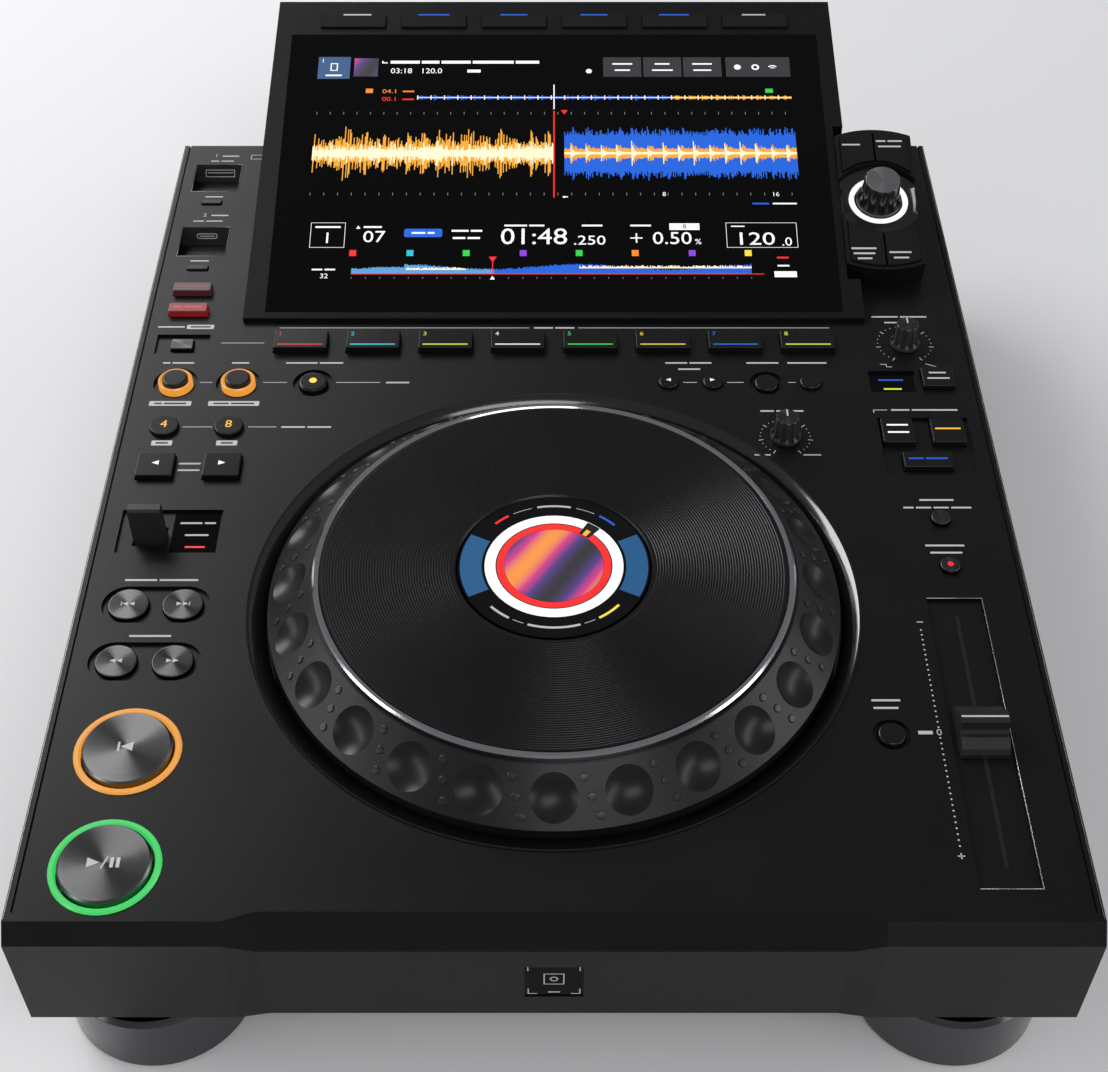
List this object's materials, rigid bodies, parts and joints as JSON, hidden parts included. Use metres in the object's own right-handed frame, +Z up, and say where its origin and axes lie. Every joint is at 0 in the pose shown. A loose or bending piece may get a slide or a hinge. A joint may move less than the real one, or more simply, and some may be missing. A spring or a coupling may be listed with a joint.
{
  "type": "tabletop media player",
  "caption": "Tabletop DJ media player with a large jog wheel, a leaning touch screen, lit cue and play buttons, cue pads, knobs and a tempo fader.",
  "frame": {"origin": "middle of the footprint's bounding box, on the surface that it stands on", "axes": "+X to the user's right, +Y back from the user to the screen, +Z up"},
  "size_m": [0.329, 0.456, 0.1222],
  "materials": {
    "case_black": "satin moulded plastic",
    "steel_black": "powder coated sheet",
    "connector": "moulded",
    "foot_metal": "turned and brushed",
    "screw_steel": "blackened",
    "board_green": "solder mask",
    "bezel_gloss": "polished",
    "display_face": "lit display",
    "jog_rubber": "satin",
    "plate_black": "grooved and anodised black",
    "trim_silver": "polished",
    "light_guide": "lit ring",
    "cap_metal": "radially brushed",
    "key_black": "moulded",
    "key_red": "lit from behind",
    "pad_black": "moulded",
    "knob_grey": "satin",
    "fader_grey": "satin",
    "screen_glass": "bonded glass"
  },
  "bodies": {
    "case": {"upper_case": "case_black", "lower_case": "steel_black", "rear_connectors": "connector", "feet": "foot_metal", "screws": "screw_steel", "circuit_boards": "board_green", "jog_bezel": "bezel_gloss", "jog_display": "display_face", "light_rings": "light_guide", "screen_housing": "case_black", "touch_screen": "screen_glass", "selector_pod": "case_black"},
    "jog": {"jog_wheel": "jog_rubber", "jog_top_plate": "plate_black", "jog_trim_ring": "trim_silver"},
    "cue_button": {"cue_button": "cap_metal"},
    "play_button": {"play_button": "cap_metal"},
    "loop_in_button": {"loop_in_button": "key_black"},
    "loop_out_button": {"loop_out_button": "key_black"},
    "reloop_key": {"reloop_key": "key_black"},
    "beat_key_4": {"beat_key_4": "key_black"},
    "beat_key_8": {"beat_key_8": "key_black"},
    "track_back_key": {"track_back_key": "cap_metal"},
    "track_forward_key": {"track_forward_key": "cap_metal"},
    "search_back_key": {"search_back_key": "cap_metal"},
    "search_forward_key": {"search_forward_key": "cap_metal"},
    "call_back_key": {"call_back_key": "key_black"},
    "call_forward_key": {"call_forward_key": "key_black"},
    "delete_key": {"delete_key": "key_black"},
    "memory_key": {"memory_key": "key_black"},
    "tempo_range_key": {"tempo_range_key": "cap_metal"},
    "master_tempo_key": {"master_tempo_key": "cap_metal"},
    "tempo_reset_key": {"tempo_reset_key": "key_black"},
    "slip_key": {"slip_key": "key_red"},
    "quantize_key": {"quantize_key": "key_red"},
    "call_delete_key": {"call_delete_key": "cap_metal"},
    "jump_back_key": {"jump_back_key": "key_black"},
    "jump_forward_key": {"jump_forward_key": "key_black"},
    "jog_mode_key": {"jog_mode_key": "key_black"},
    "beat_sync_key": {"beat_sync_key": "key_black"},
    "master_key": {"master_key": "key_black"},
    "key_sync_key": {"key_sync_key": "key_black"},
    "hot_cue_pad_a": {"hot_cue_pad_a": "pad_black"},
    "hot_cue_pad_b": {"hot_cue_pad_b": "pad_black"},
    "hot_cue_pad_c": {"hot_cue_pad_c": "pad_black"},
    "hot_cue_pad_d": {"hot_cue_pad_d": "pad_black"},
    "hot_cue_pad_e": {"hot_cue_pad_e": "pad_black"},
    "hot_cue_pad_f": {"hot_cue_pad_f": "pad_black"},
    "hot_cue_pad_g": {"hot_cue_pad_g": "pad_black"},
    "hot_cue_pad_h": {"hot_cue_pad_h": "pad_black"},
    "stop_keys": {"stop_keys": "key_black"},
    "menu_keys": {"menu_keys": "pad_black"},
    "pod_rear_keys": {"pod_rear_keys": "pad_black"},
    "pod_front_keys": {"pod_front_keys": "pad_black"},
    "tempo_fader": {"tempo_fader": "fader_grey"},
    "direction_lever": {"direction_lever": "fader_grey"},
    "jog_speed_knob": {"jog_speed_knob": "knob_grey"},
    "jog_feel_knob": {"jog_feel_knob": "knob_grey"},
    "browse_knob": {"browse_knob": "knob_grey"},
    "power_switch": {"power_switch": "key_black"}
  },
  "joints": [
    {"name": "jog_spin", "type": "hinge", "parent": "case", "child": "jog", "pos_m": [0, -0.09221, 0.079], "axis": [0, 0, 1], "continuous": true},
    {"name": "cue_button_press", "type": "slide", "parent": "case", "child": "cue_button", "axis": [0, 0, -1], "range_m": [0, 0.0016], "stiffness_N_per_m": 500},
    {"name": "play_button_press", "type": "slide", "parent": "case", "child": "play_button", "axis": [0, 0, -1], "range_m": [0, 0.0016], "stiffness_N_per_m": 500},
    {"name": "loop_in_button_press", "type": "slide", "parent": "case", "child": "loop_in_button", "axis": [0, 0, -1], "range_m": [0, 0.001], "stiffness_N_per_m": 300},
    {"name": "loop_out_button_press", "type": "slide", "parent": "case", "child": "loop_out_button", "axis": [0, 0, -1], "range_m": [0, 0.001], "stiffness_N_per_m": 300},
    {"name": "reloop_key_press", "type": "slide", "parent": "case", "child": "reloop_key", "axis": [0, 0, -1], "range_m": [0, 0.0008], "stiffness_N_per_m": 300},
    {"name": "beat_key_4_press", "type": "slide", "parent": "case", "child": "beat_key_4", "axis": [0, 0, -1], "range_m": [0, 0.0008], "stiffness_N_per_m": 300},
    {"name": "beat_key_8_press", "type": "slide", "parent": "case", "child": "beat_key_8", "axis": [0, 0, -1], "range_m": [0, 0.0008], "stiffness_N_per_m": 300},
    {"name": "track_back_key_press", "type": "slide", "parent": "case", "child": "track_back_key", "axis": [0, 0, -1], "range_m": [0, 0.0008], "stiffness_N_per_m": 300},
    {"name": "track_forward_key_press", "type": "slide", "parent": "case", "child": "track_forward_key", "axis": [0, 0, -1], "range_m": [0, 0.0008], "stiffness_N_per_m": 300},
    {"name": "search_back_key_press", "type": "slide", "parent": "case", "child": "search_back_key", "axis": [0, 0, -1], "range_m": [0, 0.0008], "stiffness_N_per_m": 300},
    {"name": "search_forward_key_press", "type": "slide", "parent": "case", "child": "search_forward_key", "axis": [0, 0, -1], "range_m": [0, 0.0008], "stiffness_N_per_m": 300},
    {"name": "call_back_key_press", "type": "slide", "parent": "case", "child": "call_back_key", "axis": [0, 0, -1], "range_m": [0, 0.0008], "stiffness_N_per_m": 300},
    {"name": "call_forward_key_press", "type": "slide", "parent": "case", "child": "call_forward_key", "axis": [0, 0, -1], "range_m": [0, 0.0008], "stiffness_N_per_m": 300},
    {"name": "delete_key_press", "type": "slide", "parent": "case", "child": "delete_key", "axis": [0, 0, -1], "range_m": [0, 0.0008], "stiffness_N_per_m": 300},
    {"name": "memory_key_press", "type": "slide", "parent": "case", "child": "memory_key", "axis": [0, 0, -1], "range_m": [0, 0.0008], "stiffness_N_per_m": 300},
    {"name": "tempo_range_key_press", "type": "slide", "parent": "case", "child": "tempo_range_key", "axis": [0, 0, -1], "range_m": [0, 0.0008], "stiffness_N_per_m": 300},
    {"name": "master_tempo_key_press", "type": "slide", "parent": "case", "child": "master_tempo_key", "axis": [0, 0, -1], "range_m": [0, 0.0008], "stiffness_N_per_m": 300},
    {"name": "tempo_reset_key_press", "type": "slide", "parent": "case", "child": "tempo_reset_key", "axis": [0, 0, -1], "range_m": [0, 0.0008], "stiffness_N_per_m": 300},
    {"name": "slip_key_press", "type": "slide", "parent": "case", "child": "slip_key", "axis": [0, 0, -1], "range_m": [0, 0.001], "stiffness_N_per_m": 300},
    {"name": "quantize_key_press", "type": "slide", "parent": "case", "child": "quantize_key", "axis": [0, 0, -1], "range_m": [0, 0.001], "stiffness_N_per_m": 300},
    {"name": "call_delete_key_press", "type": "slide", "parent": "case", "child": "call_delete_key", "axis": [0, 0, -1], "range_m": [0, 0.001], "stiffness_N_per_m": 300},
    {"name": "jump_back_key_press", "type": "slide", "parent": "case", "child": "jump_back_key", "axis": [0, 0, -1], "range_m": [0, 0.001], "stiffness_N_per_m": 300},
    {"name": "jump_forward_key_press", "type": "slide", "parent": "case", "child": "jump_forward_key", "axis": [0, 0, -1], "range_m": [0, 0.001], "stiffness_N_per_m": 300},
    {"name": "jog_mode_key_press", "type": "slide", "parent": "case", "child": "jog_mode_key", "axis": [0, 0, -1], "range_m": [0, 0.001], "stiffness_N_per_m": 300},
    {"name": "beat_sync_key_press", "type": "slide", "parent": "case", "child": "beat_sync_key", "axis": [0, 0, -1], "range_m": [0, 0.001], "stiffness_N_per_m": 300},
    {"name": "master_key_press", "type": "slide", "parent": "case", "child": "master_key", "axis": [0, 0, -1], "range_m": [0, 0.001], "stiffness_N_per_m": 300},
    {"name": "key_sync_key_press", "type": "slide", "parent": "case", "child": "key_sync_key", "axis": [0, 0, -1], "range_m": [0, 0.001], "stiffness_N_per_m": 300},
    {"name": "hot_cue_pad_a_press", "type": "slide", "parent": "case", "child": "hot_cue_pad_a", "axis": [0, 0, -1], "range_m": [0, 0.0012], "stiffness_N_per_m": 400},
    {"name": "hot_cue_pad_b_press", "type": "slide", "parent": "case", "child": "hot_cue_pad_b", "axis": [0, 0, -1], "range_m": [0, 0.0012], "stiffness_N_per_m": 400},
    {"name": "hot_cue_pad_c_press", "type": "slide", "parent": "case", "child": "hot_cue_pad_c", "axis": [0, 0, -1], "range_m": [0, 0.0012], "stiffness_N_per_m": 400},
    {"name": "hot_cue_pad_d_press", "type": "slide", "parent": "case", "child": "hot_cue_pad_d", "axis": [0, 0, -1], "range_m": [0, 0.0012], "stiffness_N_per_m": 400},
    {"name": "hot_cue_pad_e_press", "type": "slide", "parent": "case", "child": "hot_cue_pad_e", "axis": [0, 0, -1], "range_m": [0, 0.0012], "stiffness_N_per_m": 400},
    {"name": "hot_cue_pad_f_press", "type": "slide", "parent": "case", "child": "hot_cue_pad_f", "axis": [0, 0, -1], "range_m": [0, 0.0012], "stiffness_N_per_m": 400},
    {"name": "hot_cue_pad_g_press", "type": "slide", "parent": "case", "child": "hot_cue_pad_g", "axis": [0, 0, -1], "range_m": [0, 0.0012], "stiffness_N_per_m": 400},
    {"name": "hot_cue_pad_h_press", "type": "slide", "parent": "case", "child": "hot_cue_pad_h", "axis": [0, 0, -1], "range_m": [0, 0.0012], "stiffness_N_per_m": 400},
    {"name": "stop_keys_press", "type": "slide", "parent": "case", "child": "stop_keys", "axis": [0, 0, -1], "range_m": [0, 0.0005], "stiffness_N_per_m": 300},
    {"name": "menu_keys_press", "type": "slide", "parent": "case", "child": "menu_keys", "axis": [0, 0.2334, -0.9724], "range_m": [0, 0.0008], "stiffness_N_per_m": 600},
    {"name": "pod_rear_keys_press", "type": "slide", "parent": "case", "child": "pod_rear_keys", "axis": [0, 0.2334, -0.9724], "range_m": [0, 0.0007], "stiffness_N_per_m": 300},
    {"name": "pod_front_keys_press", "type": "slide", "parent": "case", "child": "pod_front_keys", "axis": [0, 0.2334, -0.9724], "range_m": [0, 0.0007], "stiffness_N_per_m": 300},
    {"name": "tempo_slide", "type": "slide", "parent": "case", "child": "tempo_fader", "axis": [0, 1, 0], "range_m": [-0.048, 0.048]},
    {"name": "direction_swing", "type": "hinge", "parent": "case", "child": "direction_lever", "pos_m": [-0.1442, -0.06231, 0.0695], "axis": [1, 0, 0], "range_deg": [-12, 12]},
    {"name": "jog_speed_knob_turn", "type": "hinge", "parent": "case", "child": "jog_speed_knob", "pos_m": [0.1386, 0.04269, 0.079], "axis": [0, 0, 1], "range_deg": [-150, 150]},
    {"name": "jog_feel_knob_turn", "type": "hinge", "parent": "case", "child": "jog_feel_knob", "pos_m": [0.0869, -0.01131, 0.079], "axis": [0, 0, 1], "range_deg": [-150, 150]},
    {"name": "browse_turn", "type": "hinge", "parent": "case", "child": "browse_knob", "pos_m": [0.1352, 0.11569, 0.09701], "axis": [0, -0.2334, 0.9724], "continuous": true},
    {"name": "power_rock", "type": "hinge", "parent": "case", "child": "power_switch", "pos_m": [0.084, 0.17629, 0.052], "axis": [1, 0, 0], "range_deg": [-7, 7]}
  ]
}
